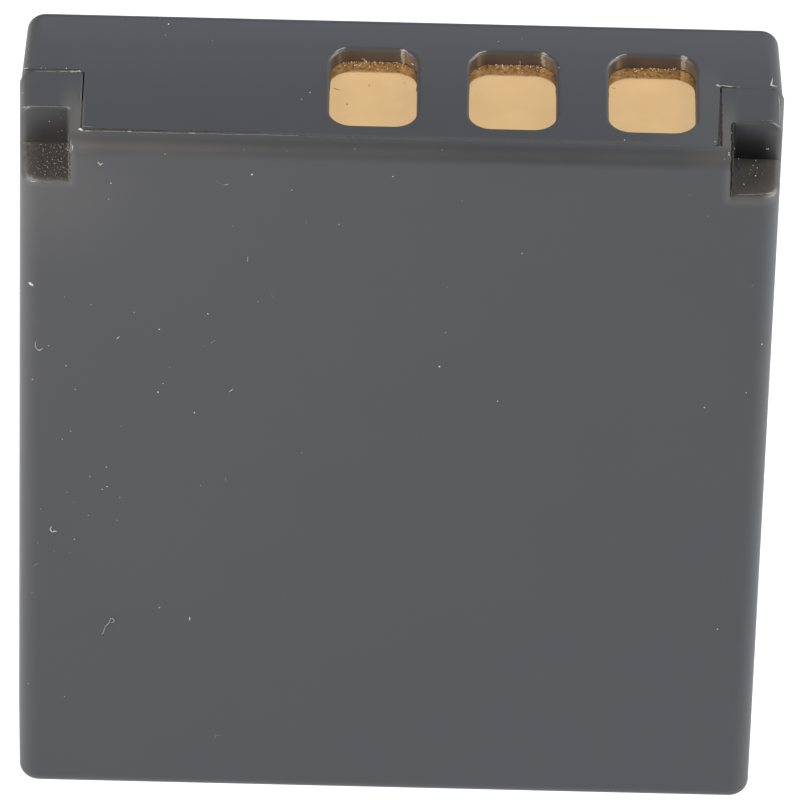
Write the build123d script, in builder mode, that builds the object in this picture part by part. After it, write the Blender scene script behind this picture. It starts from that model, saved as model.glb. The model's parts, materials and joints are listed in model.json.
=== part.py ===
from build123d import *

import os
from math import radians, sin, tan

# Camera battery pack: two welded shells round a prismatic lithium cell, with a protection board and three
# gold-plated contacts behind windows in the contact end.
# Millimetres, +Z towards the contact end, -Y is the front face, origin at the middle of the bottom end.

# Outside of the pack
PACK_WIDTH = 35.0  # across the parting line
PACK_HEIGHT = 39.6
PACK_DEPTH = 9.8
FRONT_DEPTH = 5.2  # front face to parting line
SIDE_DRAFT = 2.5  # degrees, each shell narrows away from the parting line
SHELL_STEP = 0.06  # setback of the rear shell at the parting line
FRONT_EDGE_RADIUS = 0.95  # upright edges of the front face
REAR_EDGE_RADIUS = 0.85  # upright edges of the rear face
BASE_RADIUS = 0.6  # edges round the bottom end
END_RADIUS = 0.7  # edges round the contact end

# Walls of the shells
FACE_WALL = 0.7
SIDE_WALL = 0.7
BASE_WALL = 0.8
PANEL_WALL = 0.73  # contact panel, so also the depth of its windows
RIM_WALL = 1.0  # front shell's rim ahead of the panel's tongue

# Step joint between the shells
LIP_WALL = 0.3
LIP_DEPTH = 0.6
LIP_GAP = 0.03
SEAM_GAP = 0.06  # open seam round the tongue
SEAM_BREAK = 0.05  # chamfer where the posts meet the panel
TONGUE_SLACK = 0.16  # narrowing of the tongue's right side towards its front
TONGUE_LEDGE = 0.45  # width of the ledge on each post that carries the tongue

# Corner posts and their guide notches
POST_WIDTH = 2.9
POST_FLOOR = 0.7  # wall under a notch
RIB_WALL = 0.5  # rib between a notch and the tongue
NOTCH_DEPTH = 2.7  # from the front face
NOTCH_DROP = 2.15  # from the contact end
NOTCH_RADIUS = 0.2  # upright inner corner
NOTCH_EDGE_RADIUS = 0.32  # outer edge of a notch's floor
NOTCH_BREAK = 0.14  # rounding of a notch's upper edges
POST_EDGE_RADIUS = 0.45  # upright outer edge of a post, behind the notch
POST_EDGE_TURN = 70  # degrees of that rounding

# Windows in the contact panel
WINDOW_WIDTH = 4.0
WINDOW_LENGTH = 5.4
WINDOW_RADIUS = 1.05
WINDOW_PITCH = 6.38
WINDOW_EDGE = 3.16  # tongue's side to the middle of the nearest window
WINDOW_SETBACK = 4.63  # front face to the middle of the windows
WINDOW_BREAK = 0.18  # rounding of each window's edge

# Contacts and board
CONTACT_NAMES = ("contact_positive", "contact_sense", "contact_negative")
CONTACT_LAP = 0.35  # hidden border of a contact under the panel
CONTACT_THICKNESS = 0.5
CONTACT_RADIUS = 0.3
BOARD_MARGIN = 0.2  # board beyond the contacts, front and rear
BOARD_CLEARANCE = 0.15  # board's ends to the ledges
BOARD_THICKNESS = 0.8
BOARD_SEAT = 0.5  # width of the board that sits on a rib
RIB_INSET = 2.2  # posts to the middle of a board rib
RIB_THICKNESS = 0.8
RIB_HEIGHT = 2.0
RIB_LAND = 0.4  # height of a rib's tip

# Cell and its packing
FOAM_THICKNESS = 0.4
FOAM_MARGIN = 2.5
ADHESIVE_THICKNESS = 0.15
ADHESIVE_MARGIN = 4.5
CELL_CLEARANCE = 0.1  # cell's narrow sides to the walls
CELL_EDGE_RADIUS = 2.4
CELL_BASE_RADIUS = 0.6
CELL_TOP_RADIUS = 0.25
HEAD_SPACE = 3.4  # cell's terminal end to the board

# Terminals on the cell
GASKET_LENGTH = 5.2
GASKET_WIDTH = 3.0
GASKET_THICKNESS = 0.3
TERMINAL_BORDER = 0.45  # gasket beyond the terminal
TERMINAL_THICKNESS = 0.3
PLUG_DIAMETER = 1.8
PLUG_THICKNESS = 0.25
PLUG_INSET = 3.6  # cell's side to the middle of the plug
PLATE_LENGTH = 5.0
PLATE_WIDTH = 3.4
PLATE_THICKNESS = 0.3
PLATE_INSET = 7.5  # cell's side to the middle of the plate
INSULATOR_THICKNESS = 0.2
INSULATOR_MARGIN = 0.8
INSULATOR_CLEARANCE = 0.3  # cut-outs round the terminals

# Strips and thermal cut-off
TAB_WIDTH = 2.6
TAB_THICKNESS = 0.15
TAB_BEND = 0.3  # inner bend radius
TAB_FOOT = 2.0
TAB_FLANGE = 2.2
LINK_LAP = 1.4  # link strip past the middle of the terminal
CUTOFF_LENGTH = 5.0
CUTOFF_WIDTH = 3.2
CUTOFF_THICKNESS = 0.9
CUTOFF_GAP = 0.6  # insulator's cut-out to the cut-off

# Parts under the board: length, width, height and place from the board's middle
SWITCH_CHIP = (4.4, 3.0, 1.0)
SWITCH_PLACE = (-3.4, -0.6)
CONTROL_CHIP = (2.9, 1.6, 1.1)
CONTROL_PLACE = (1.6, -0.8)
THERMISTOR = (1.6, 0.8, 0.8)
THERMISTOR_PLACE = (4.9, 0.4)
RESISTOR = (1.0, 0.5, 0.35)
RESISTOR_PLACE = (1.8, 1.9)
RESISTOR_PITCH = 1.6
CAPACITOR = (1.6, 0.8, 0.8)
CAPACITOR_PLACE = (-2.6, 1.9)
CAPACITOR_PITCH = 2.2

# Planes and levels that the pieces share
half_width = PACK_WIDTH / 2
front_y = -PACK_DEPTH / 2
rear_y = PACK_DEPTH / 2
parting_y = front_y + FRONT_DEPTH
inner_front_y = front_y + FACE_WALL
inner_rear_y = rear_y - FACE_WALL
rim_y = front_y + RIM_WALL
panel_under = PACK_HEIGHT - PANEL_WALL
notch_floor = PACK_HEIGHT - NOTCH_DROP
post_under = notch_floor - POST_FLOOR
post_inner = half_width - POST_WIDTH
ledge_inner = post_inner - TONGUE_LEDGE
notch_inner = post_inner + RIB_WALL
notch_back = front_y + NOTCH_DEPTH
board_top = panel_under - CONTACT_THICKNESS
board_under = board_top - BOARD_THICKNESS
cell_top = board_under - HEAD_SPACE
cell_base = BASE_WALL + FOAM_THICKNESS
window_y = front_y + WINDOW_SETBACK
window_xs = [post_inner - WINDOW_EDGE - i * WINDOW_PITCH for i in range(len(CONTACT_NAMES))]


def drafted(half, run):
    """Half width of a wall, a distance away from the parting line."""
    return half - run * tan(radians(SIDE_DRAFT))


def trapezoid(near_half, near_y, far_half, far_y):
    """Corners of a plan that narrows from near_y to far_y."""
    return (-near_half, near_y), (-far_half, far_y), (far_half, far_y), (near_half, near_y)


# Half widths of the shells, outside and inside
front_half = drafted(half_width, FRONT_DEPTH)
rear_parting_half = half_width - SHELL_STEP
rear_half = drafted(rear_parting_half, rear_y - parting_y)
front_cavity_half = half_width - SIDE_WALL
front_cavity_far = drafted(front_cavity_half, parting_y - inner_front_y)
rear_cavity_half = rear_parting_half - SIDE_WALL
rear_cavity_far = drafted(rear_cavity_half, inner_rear_y - parting_y)

# Board and its ribs
board_length = 2 * (ledge_inner - BOARD_CLEARANCE)
board_width = WINDOW_LENGTH + 2 * (CONTACT_LAP + BOARD_MARGIN)
board_front_seat = window_y - board_width / 2 + BOARD_SEAT
board_rear_seat = window_y + board_width / 2 - BOARD_SEAT
rib_x = post_inner - RIB_INSET


def board_rib(wall_y, seat_y):
    """Profile of a rib that runs out from a shell's face to carry the board, in Y and Z."""
    foot = (wall_y, board_under - RIB_HEIGHT)
    return foot, (wall_y, board_under), (seat_y, board_under), (seat_y, board_under - RIB_LAND)


# Body of the front shell up to the floors of the notches
with BuildPart() as front_body:
    with BuildSketch() as front_plan:
        Polygon(*trapezoid(half_width, parting_y, front_half, front_y), align=None)
        fillet(front_plan.vertices().group_by(Axis.Y)[0], FRONT_EDGE_RADIUS)
    extrude(amount=notch_floor)
    fillet(front_body.faces().sort_by(Axis.Z)[0].edges().sort_by(Axis.Y)[:-1], BASE_RADIUS)
    fillet(front_body.faces().sort_by(Axis.Z)[-1].edges().sort_by(Axis.Y)[:-1], NOTCH_EDGE_RADIUS)

# Front shell: that body, and on it the rounded rim and the two notched posts beside the tongue
with BuildPart() as front_shell:
    rim_under = notch_floor - NOTCH_EDGE_RADIUS
    with BuildSketch(Plane.XY.offset(rim_under)):
        add(front_plan.sketch_local)
    extrude(amount=PACK_HEIGHT - rim_under)
    fillet(front_shell.faces().sort_by(Axis.Z)[-1].edges().sort_by(Axis.Y)[:-1], END_RADIUS)
    # Guide notches, open to the front, the side and the contact end
    ahead_y = front_y - NOTCH_DEPTH
    outside_x = half_width + POST_WIDTH
    flare_x = half_width - POST_EDGE_RADIUS * sin(radians(POST_EDGE_TURN))
    with BuildSketch(Plane.XY.offset(rim_under)):
        with BuildLine():
            notch_wall = (notch_inner, ahead_y), (notch_inner, notch_back), (flare_x, notch_back)
            walls = FilletPolyline(*notch_wall, radius=NOTCH_RADIUS)
            flare = JernArc(walls @ 1, walls % 1, POST_EDGE_RADIUS, POST_EDGE_TURN)
            Polyline(flare @ 1, (outside_x, (flare @ 1).Y), (outside_x, ahead_y), walls @ 0)
        make_face()
        mirror(about=Plane.YZ)
    extrude(amount=PACK_HEIGHT - rim_under, mode=Mode.SUBTRACT)
    end_face = front_shell.faces().sort_by(Axis.Z)[-1]
    fillet(end_face.edges().filter_by(Axis.X).group_by(Axis.Y)[-2], NOTCH_BREAK)
    add(front_body.part)
    # Room for the cell below the posts
    with BuildSketch(Plane.XY.offset(BASE_WALL)):
        Polygon(*trapezoid(front_cavity_half, parting_y, front_cavity_far, inner_front_y), align=None)
    extrude(amount=post_under - BASE_WALL, mode=Mode.SUBTRACT)
    # Slot for the tongue between the posts, with a ledge on each post under the tongue
    for under, over, half in ((post_under, panel_under, ledge_inner), (panel_under, PACK_HEIGHT, post_inner)):
        with BuildSketch(Plane.XY.offset(under)):
            with Locations((0, (rim_y + parting_y) / 2)):
                Rectangle(2 * half, parting_y - rim_y)
        extrude(amount=over - under, mode=Mode.SUBTRACT)
    # Cored-out posts behind the notches
    core_front = notch_back + POST_FLOOR
    core_width = front_cavity_half - notch_inner
    core_x = notch_inner + core_width / 2
    with BuildSketch(Plane.XY.offset(post_under)):
        with Locations((-core_x, (core_front + parting_y) / 2), (core_x, (core_front + parting_y) / 2)):
            Rectangle(core_width, parting_y - core_front)
    extrude(amount=panel_under - post_under, mode=Mode.SUBTRACT)
    # Rebate for the rear shell's lip
    with BuildSketch(Plane.XZ.offset(-parting_y)):
        rebate_half = rear_cavity_half + LIP_WALL + LIP_GAP
        rebate_base = BASE_WALL - LIP_WALL - LIP_GAP
        with Locations((0, (rebate_base + post_under) / 2)):
            Rectangle(2 * rebate_half, post_under - rebate_base)
    extrude(amount=LIP_DEPTH + LIP_GAP, mode=Mode.SUBTRACT)
    # Ribs that carry the front of the board
    with BuildSketch(Plane.YZ.offset(-rib_x), Plane.YZ.offset(rib_x)):
        Polygon(*board_rib(inner_front_y, board_front_seat), align=None)
    extrude(amount=RIB_THICKNESS / 2, both=True)
    # Broken edge of the seam behind the posts
    seam_edges = front_shell.edges().group_by(Axis.Z)[-1].filter_by(Axis.X).group_by(Axis.Y)[-1]
    chamfer(seam_edges, SEAM_BREAK)

# Rear shell: the other large face and half walls, and the contact panel with its tongue and windows
with BuildPart() as rear_shell:
    with BuildSketch() as rear_plan:
        Polygon(*trapezoid(rear_parting_half, parting_y, rear_half, rear_y), align=None)
        fillet(rear_plan.vertices().group_by(Axis.Y)[-1], REAR_EDGE_RADIUS)
    extrude(amount=PACK_HEIGHT)
    fillet(rear_shell.faces().sort_by(Axis.Z)[0].edges().sort_by(Axis.Y)[1:], BASE_RADIUS)
    fillet(rear_shell.faces().sort_by(Axis.Z)[-1].edges().sort_by(Axis.Y)[1:], END_RADIUS)
    with BuildSketch(Plane.XY.offset(BASE_WALL)):
        Polygon(*trapezoid(rear_cavity_half, parting_y, rear_cavity_far, inner_rear_y), align=None)
    extrude(amount=panel_under - BASE_WALL, mode=Mode.SUBTRACT)
    # Lip that enters the front shell's rebate
    with BuildSketch(Plane.XZ.offset(-parting_y)):
        lip_base = BASE_WALL - LIP_WALL
        lip_end = post_under - LIP_GAP
        with Locations((0, (lip_base + lip_end) / 2)):
            Rectangle(2 * (rear_cavity_half + LIP_WALL), lip_end - lip_base)
        with Locations((0, (BASE_WALL + lip_end) / 2)):
            Rectangle(2 * rear_cavity_half, lip_end - BASE_WALL, mode=Mode.SUBTRACT)
    extrude(amount=LIP_DEPTH)
    # Tongue between the posts, slack on its right side
    with BuildSketch(Plane.XY.offset(panel_under)):
        tongue_half = post_inner - SEAM_GAP
        tongue_front = rim_y + SEAM_GAP
        left_side = (-tongue_half, parting_y), (-tongue_half, tongue_front)
        right_side = (tongue_half - TONGUE_SLACK, tongue_front), (tongue_half, parting_y)
        Polygon(*left_side, *right_side, align=None)
    extrude(amount=PANEL_WALL)
    # Windows with a rounded edge
    with BuildSketch(Plane.XY.offset(panel_under)):
        with Locations(*[(x, window_y) for x in window_xs]):
            RectangleRounded(WINDOW_WIDTH, WINDOW_LENGTH, WINDOW_RADIUS)
    extrude(amount=PANEL_WALL, mode=Mode.SUBTRACT)
    fillet(rear_shell.faces().sort_by(Axis.Z)[-1].inner_wires().edges(), WINDOW_BREAK)
    # Ribs that carry the rear of the board
    with BuildSketch(Plane.YZ.offset(-rib_x), Plane.YZ.offset(rib_x)):
        Polygon(*board_rib(inner_rear_y, board_rear_seat), align=None)
    extrude(amount=RIB_THICKNESS / 2, both=True)

# Gold-plated contact blocks, soldered on the board and pressed against the panel
contacts = []
for x in window_xs:
    with BuildPart() as contact:
        with BuildSketch(Plane.XY.offset(board_top)):
            with Locations((x, window_y)):
                RectangleRounded(
                    WINDOW_WIDTH + 2 * CONTACT_LAP, WINDOW_LENGTH + 2 * CONTACT_LAP, CONTACT_RADIUS
                )
        extrude(amount=CONTACT_THICKNESS)
    contacts.append(contact)

# Protection board
with BuildPart() as board:
    with BuildSketch(Plane.XY.offset(board_under)):
        with Locations((0, window_y)):
            Rectangle(board_length, board_width)
    extrude(amount=BOARD_THICKNESS)


def board_parts(size, place, count=1, pitch=0):
    """A row of equal parts soldered under the board."""
    length, width, height = size
    with BuildPart() as row:
        with BuildSketch(Plane.XY.offset(board_under)):
            with Locations((place[0], window_y + place[1])):
                with GridLocations(pitch, 0, count, 1):
                    Rectangle(length, width)
        extrude(amount=-height)
    return row


switch_chip = board_parts(SWITCH_CHIP, SWITCH_PLACE)
protection_chip = board_parts(CONTROL_CHIP, CONTROL_PLACE)
thermistor = board_parts(THERMISTOR, THERMISTOR_PLACE)
chip_resistors = board_parts(RESISTOR, RESISTOR_PLACE, 3, RESISTOR_PITCH)
chip_capacitors = board_parts(CAPACITOR, CAPACITOR_PLACE, 2, CAPACITOR_PITCH)

# Sealed lithium cell
cell_width = 2 * (min(front_cavity_far, rear_cavity_far) - CELL_CLEARANCE)
cell_depth = inner_rear_y - inner_front_y - 2 * ADHESIVE_THICKNESS
with BuildPart() as cell:
    with BuildSketch(Plane.XY.offset(cell_base)):
        RectangleRounded(cell_width, cell_depth, CELL_EDGE_RADIUS)
    extrude(amount=cell_top - cell_base)
    fillet(cell.faces().sort_by(Axis.Z)[0].edges(), CELL_BASE_RADIUS)
    fillet(cell.faces().sort_by(Axis.Z)[-1].edges(), CELL_TOP_RADIUS)

# Adhesive pads on the cell's large faces and foam under its base
with BuildPart() as adhesive_front:
    with BuildSketch(Plane.XZ.offset(-inner_front_y)):
        with Locations((0, (cell_base + cell_top) / 2)):
            Rectangle(cell_width - 2 * ADHESIVE_MARGIN, cell_top - cell_base - 2 * ADHESIVE_MARGIN)
    extrude(amount=-ADHESIVE_THICKNESS)
with BuildPart() as adhesive_rear:
    with BuildSketch(Plane.XZ.offset(-inner_rear_y)):
        with Locations((0, (cell_base + cell_top) / 2)):
            Rectangle(cell_width - 2 * ADHESIVE_MARGIN, cell_top - cell_base - 2 * ADHESIVE_MARGIN)
    extrude(amount=ADHESIVE_THICKNESS)
with BuildPart() as foam_pad:
    with BuildSketch(Plane.XY.offset(BASE_WALL)):
        RectangleRounded(cell_width - 2 * FOAM_MARGIN, cell_depth - FOAM_MARGIN, FOAM_MARGIN / 2)
    extrude(amount=FOAM_THICKNESS)

# Riveted centre terminal on its gasket, and the filling plug
with BuildPart() as cell_gasket:
    with BuildSketch(Plane.XY.offset(cell_top)):
        SlotOverall(GASKET_LENGTH, GASKET_WIDTH)
    extrude(amount=GASKET_THICKNESS)
terminal_under = cell_top + GASKET_THICKNESS
terminal_top = terminal_under + TERMINAL_THICKNESS
with BuildPart() as cell_terminal:
    with BuildSketch(Plane.XY.offset(terminal_under)):
        SlotOverall(GASKET_LENGTH - 2 * TERMINAL_BORDER, GASKET_WIDTH - 2 * TERMINAL_BORDER)
    extrude(amount=TERMINAL_THICKNESS)
plug_x = cell_width / 2 - PLUG_INSET
with BuildPart() as fill_plug:
    with BuildSketch(Plane.XY.offset(cell_top)):
        with Locations((plug_x, 0)):
            Circle(PLUG_DIAMETER / 2)
    extrude(amount=PLUG_THICKNESS)

# Clad plate that the positive strip is welded to
plate_x = PLATE_INSET - cell_width / 2
with BuildPart() as weld_plate:
    with BuildSketch(Plane.XY.offset(cell_top)):
        with Locations((plate_x, 0)):
            Rectangle(PLATE_LENGTH, PLATE_WIDTH)
    extrude(amount=PLATE_THICKNESS)

# Insulating paper, cut out round the terminals
with BuildPart() as terminal_insulator:
    with BuildSketch(Plane.XY.offset(cell_top)):
        sheet_width = cell_depth - 2 * INSULATOR_MARGIN
        SlotOverall(cell_width - 2 * INSULATOR_MARGIN, sheet_width)
        cut = 2 * INSULATOR_CLEARANCE
        SlotOverall(GASKET_LENGTH + cut, GASKET_WIDTH + cut, mode=Mode.SUBTRACT)
        with Locations((plug_x, 0)):
            Circle((PLUG_DIAMETER + cut) / 2, mode=Mode.SUBTRACT)
        with Locations((plate_x, 0)):
            Rectangle(PLATE_LENGTH + cut, PLATE_WIDTH + cut, mode=Mode.SUBTRACT)
    extrude(amount=INSULATOR_THICKNESS)

# Thermal cut-off on the paper, beside the terminal
cutoff_left = GASKET_LENGTH / 2 + INSULATOR_CLEARANCE + CUTOFF_GAP
cutoff_right = cutoff_left + CUTOFF_LENGTH
with BuildPart() as thermal_cutoff:
    with BuildSketch(Plane.XY.offset(cell_top + INSULATOR_THICKNESS)):
        with Locations(((cutoff_left + cutoff_right) / 2, 0)):
            Rectangle(CUTOFF_LENGTH, CUTOFF_WIDTH)
    extrude(amount=CUTOFF_THICKNESS)

# Link strip from the terminal to the cut-off
with BuildPart() as link_tab:
    with BuildSketch(Plane.XY.offset(terminal_top)):
        with Locations(((cutoff_left - LINK_LAP) / 2, 0)):
            Rectangle(cutoff_left + LINK_LAP, TAB_WIDTH)
    extrude(amount=TAB_THICKNESS)


def bent_tab(foot_x, foot_z):
    """Strip that runs along +X from its foot, turns up to the board and back along its underside."""
    riser_x = foot_x + TAB_FOOT
    route = [(foot_x, foot_z), (riser_x, foot_z), (riser_x, board_under), (riser_x - TAB_FLANGE, board_under)]
    with BuildPart() as tab:
        with BuildSketch(Plane.XZ):
            with BuildLine() as profile:
                FilletPolyline(*route, radius=TAB_BEND)
                offset(profile.line, amount=TAB_THICKNESS, side=Side.LEFT)
            make_face()
        extrude(amount=TAB_WIDTH / 2, both=True)
    return tab


positive_tab = bent_tab(plate_x - TAB_FOOT / 2, cell_top + PLATE_THICKNESS)
negative_tab = bent_tab(cutoff_right, terminal_top)

# Hand out every piece under its own name
pieces = {
    "front_shell": front_shell,
    "rear_shell": rear_shell,
    "board": board,
    "protection_chip": protection_chip,
    "switch_chip": switch_chip,
    "thermistor": thermistor,
    "chip_resistors": chip_resistors,
    "chip_capacitors": chip_capacitors,
    "cell": cell,
    "cell_gasket": cell_gasket,
    "cell_terminal": cell_terminal,
    "fill_plug": fill_plug,
    "weld_plate": weld_plate,
    "terminal_insulator": terminal_insulator,
    "thermal_cutoff": thermal_cutoff,
    "link_tab": link_tab,
    "positive_tab": positive_tab,
    "negative_tab": negative_tab,
    "adhesive_front": adhesive_front,
    "adhesive_rear": adhesive_rear,
    "foam_pad": foam_pad,
}
pieces.update(zip(CONTACT_NAMES, contacts))
os.makedirs("parts", exist_ok=True)
for name, piece in pieces.items():
    piece.part.label = name
    export_step(piece.part, f"parts/{name}.step")
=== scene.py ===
import bmesh
import bpy
import json
from math import cos, pi, radians, sin
from mathutils import Matrix, Vector
from mathutils.bvhtree import BVHTree
from random import Random


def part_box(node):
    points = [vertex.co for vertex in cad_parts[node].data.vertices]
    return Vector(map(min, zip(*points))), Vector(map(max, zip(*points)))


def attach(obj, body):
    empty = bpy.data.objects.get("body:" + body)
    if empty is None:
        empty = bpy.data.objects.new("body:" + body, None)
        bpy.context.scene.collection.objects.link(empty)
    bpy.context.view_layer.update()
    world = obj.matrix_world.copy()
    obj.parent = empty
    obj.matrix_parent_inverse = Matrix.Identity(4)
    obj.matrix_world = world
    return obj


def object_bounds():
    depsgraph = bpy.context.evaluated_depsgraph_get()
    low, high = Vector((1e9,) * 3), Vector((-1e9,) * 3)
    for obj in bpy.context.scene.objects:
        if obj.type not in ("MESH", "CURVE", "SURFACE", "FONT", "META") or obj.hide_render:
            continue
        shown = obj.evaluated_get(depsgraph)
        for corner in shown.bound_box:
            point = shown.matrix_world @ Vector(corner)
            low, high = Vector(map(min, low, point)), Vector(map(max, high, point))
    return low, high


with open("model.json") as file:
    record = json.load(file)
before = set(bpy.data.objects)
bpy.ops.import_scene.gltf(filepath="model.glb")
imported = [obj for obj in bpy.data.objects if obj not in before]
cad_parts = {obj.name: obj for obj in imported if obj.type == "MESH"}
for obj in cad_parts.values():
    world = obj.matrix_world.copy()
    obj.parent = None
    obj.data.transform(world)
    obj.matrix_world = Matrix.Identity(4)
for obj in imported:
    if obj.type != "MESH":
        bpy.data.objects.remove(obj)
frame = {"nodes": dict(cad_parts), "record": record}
nodes = frame["nodes"]
cad_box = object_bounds()

MM = 0.001
UP = Vector((0, 0, 1))

# Camera: a long lens that looks down on the contact end from the front
VIEW_ELEVATION = radians(41.0)
VIEW_YAW = radians(-0.4044)
VIEW_ROLL = radians(1.6139)
VIEW_TARGET = Vector((0.298, 0.1, 20.366)) * MM
VIEW_DISTANCE = 576.58 * MM
VIEW_REACH = 10  # metres
LENS = 555.2
SENSOR = 36.0
PHOTO_SIZE = 800  # pixels along each side of the photograph
PIXEL = 0.0467 * MM  # one pixel of the photograph, at the part

# Studio: dim sky with a bright patch that the contacts mirror, and a glowing floor
SKY_COLOUR = (0.025, 0.03, 0.07)
PATCH_COLOUR = (0.68, 0.80, 0.98)
PATCH_FADE = (0.945, 0.98, 0.0, 1.0)
FLOOR_SIZE = 1.2
FLOOR_ALBEDO = 0.12
FLOOR_MOTTLE = 0.01
FLOOR_GRAIN = 0.05
FLOOR_ROUGHNESS = (0.8, 0.9)
FLOOR_COLOUR = (1.0, 1.025, 1.095)
FLOOR_GLOW = 1.16

# Limits of the part and of its forms: the notches at the ends of the panel, the ribs beside them, the rim
# ahead of the panel, and the row of windows
PACK_HALF = cad_box[1][0]
FRONT_Y = cad_box[0][1]
REAR_Y = cad_box[1][1]
END_Z = cad_box[1][2]
NOTCH_INNER = PACK_HALF - 2.4 * MM
NOTCH_REAR = FRONT_Y + 2.7 * MM
NOTCH_FLOOR = END_Z - 2.15 * MM
RIB_INNER = PACK_HALF - 2.98 * MM
RIM_REAR = FRONT_Y + 1.03 * MM
RIM_LOW = END_Z - 0.75 * MM
WINDOW_ROW_HALF = 14 * MM
WINDOW_ROW_DEPTH = (-3.2 * MM, 2.7 * MM)
WINDOW_ROW_HEIGHT = (NOTCH_FLOOR, END_Z - 0.15 * MM)
SOFTNESS = 0.1 * MM  # width of a plain soft limit

# Lamps: place, the point they face, width, height, power in watts and colour
LAMPS = {
    "key": (
        Vector((-75, -45, 80)) * MM, Vector((0, -2, 30)) * MM,
        80 * MM, 80 * MM, 0.165, (1.0, 0.95, 0.86),
    ),
    "right": (
        Vector((130, -5, 95)) * MM, Vector((0, -2, 30)) * MM,
        120 * MM, 120 * MM, 0.437, (1.0, 0.98, 0.90),
    ),
    "rear": (
        Vector((0, REAR_Y + 4 * MM, END_Z + 3.6 * MM)), Vector((0, 0, END_Z - 0.6 * MM)),
        50 * MM, 2 * MM, 0.00056, (0.78, 0.85, 1.0),
    ),
}

# Fades of dust, painted shade and painted highlight on the plastic: where each starts and ends, in metres
# or as a share of the normal, and its strength before and after
SIDE_FADE = (-1 * MM, 1 * MM, 0.0, 1.0)
LEVEL_FADE = (0.6, 0.95, 0.0, 1.0)

# Fades in the notches: dust on the floors, and painted shade on the rear walls and on the right one's inner
# edge
NOTCH_DEPTH_FADE = (NOTCH_FLOOR, END_Z - SOFTNESS, 1.0, 0.0)
NOTCH_SIDE_FADE = (PACK_HALF - 1.2 * MM, PACK_HALF - 0.2 * MM, 1.0, 0.0)
WALL_FACING_FADE = (-0.95, -0.8, 1.0, 0.0)
WALL_HEIGHT_FADE = (NOTCH_FLOOR + 0.6 * MM, END_Z - SOFTNESS, 1.0, 0.0)
WALL_DEPTH = (NOTCH_REAR - 1 * MM, NOTCH_REAR + 1 * MM)
EDGE_ROUND_FADE = (0.1, 0.35, 0.0, 1.0)
EDGE_FLAT_FADE = (0.9, 0.98, 1.0, 0.0)
EDGE_WIDTH = (NOTCH_INNER - 0.4 * MM, NOTCH_INNER + 0.6 * MM)

# Fade of the painted shade towards the left corner of each window
CORNER_FADE = (0.28, 0.85, 0.0, 1.0)

# Fades of the pale top, partly rubbed wear and partly painted highlight: the ribs, the rim, the panel's
# seam and the panel's right end
RIB_OUTER_FADE = (NOTCH_INNER, NOTCH_INNER + 0.7 * MM, 1.0, 0.0)
RIB_RIGHT_FADE = (NOTCH_INNER - 0.1 * MM, NOTCH_INNER + 0.4 * MM, 1.0, 0.0)
RIB_REAR_FADE = (NOTCH_REAR - 0.5 * MM, 0, 1.0, 0.0)
RIB_FRONT_FADE = (RIM_REAR - 0.4 * MM, RIM_REAR, 0.3, 1.0)
RIB_TOP_FADE = (END_Z - 0.3 * MM, END_Z, 0.0, 1.0)
RIM_FADES = (
    (-PACK_HALF, 2 * MM, 0.33, 0.0),
    (-NOTCH_INNER, -12 * MM, 0.6, 0.0),
    (12 * MM, NOTCH_INNER, 0.0, 0.5),
)
SEAM_STRENGTH = 0.35
PANEL_SIDE_FADE = (10 * MM, 14 * MM, 0.0, 0.38)
PANEL_REAR_FADE = (0, 2.5 * MM, 1.0, 0.0)
TOP_FADE = (RIM_LOW, END_Z - 0.4 * MM, 0.0, 1.0)

# Fades of the painted highlight on the front: the edges round the notches, the left halo, the left side,
# the right notch's outer edge and the foot of the part
AROUND_SIDE_FADE = (NOTCH_INNER - 0.6 * MM, NOTCH_INNER - 0.1 * MM, 0.0, 0.9)
AROUND_LOW_FADE = (NOTCH_FLOOR - 0.75 * MM, NOTCH_FLOOR - 0.1 * MM, 0.0, 1.0)
AROUND_REAR_FADE = (FRONT_Y + 0.3 * MM, FRONT_Y + 0.5 * MM, 1.0, 0.0)
AROUND_TOP_FADE = (END_Z - 0.4 * MM, END_Z - 0.15 * MM, 1.0, 0.0)
HALO_CENTRE = Vector((-PACK_HALF + 1.2 * MM, FRONT_Y, NOTCH_FLOOR - 0.5 * MM))
HALO_FADE = (0.3 * MM, 6 * MM, 0.36, 0.0)
HALO_TOP_FADE = (RIM_LOW, END_Z - 0.2 * MM, 1.0, 0.0)
LEFT_FADE = (-PACK_HALF + 0.3 * MM, -PACK_HALF + 0.9 * MM, 1.0, 0.0)
LEFT_HEIGHT_FADE = (NOTCH_FLOOR - 4 * MM, END_Z, 0.15, 0.4)
LEFT_FLAT_FADE = (-0.99, -0.85, 0.0, 1.0)
OUTER_FADE = (PACK_HALF - 1.1 * MM, PACK_HALF - 0.3 * MM, 0.0, 0.9)
OUTER_TOP_FADE = (END_Z - 0.6 * MM, END_Z - 0.25 * MM, 1.0, 0.0)
OUTER_REAR_FADE = (NOTCH_REAR + SOFTNESS, NOTCH_REAR + 3 * SOFTNESS, 1.0, 0.0)
FOOT_FADE = (0.2 * MM, 0.9 * MM, 0.28, 0.0)

# Shell plastic: sizes of its mottle, colours and roughness
MOTTLE_RANGE = (0.3, 0.7)  # values of a noise between which a mottle runs
PLASTIC_MOTTLE = 6 * MM
PLASTIC_GRAIN = 0.06 * MM
PLASTIC_RELIEF = 0.001 * MM
DUST_MOTTLE = 0.25 * MM
DUST_FADE = (0.35, 0.6, 0.2, 1.0)
FEW_OCTAVES = 2.0
MANY_OCTAVES = 4.0
PLASTIC_COLOURS = ((0.0365, 0.0374, 0.0403), (0.0395, 0.0404, 0.0433))
PLASTIC_ROUGHNESS = (0.46, 0.50)
# Pale tint: rubbed wear on the top, and painted highlight on the top and the front
PALE_WEAR_AND_HIGHLIGHT_COLOUR = (0.074, 0.073, 0.071)
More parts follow.
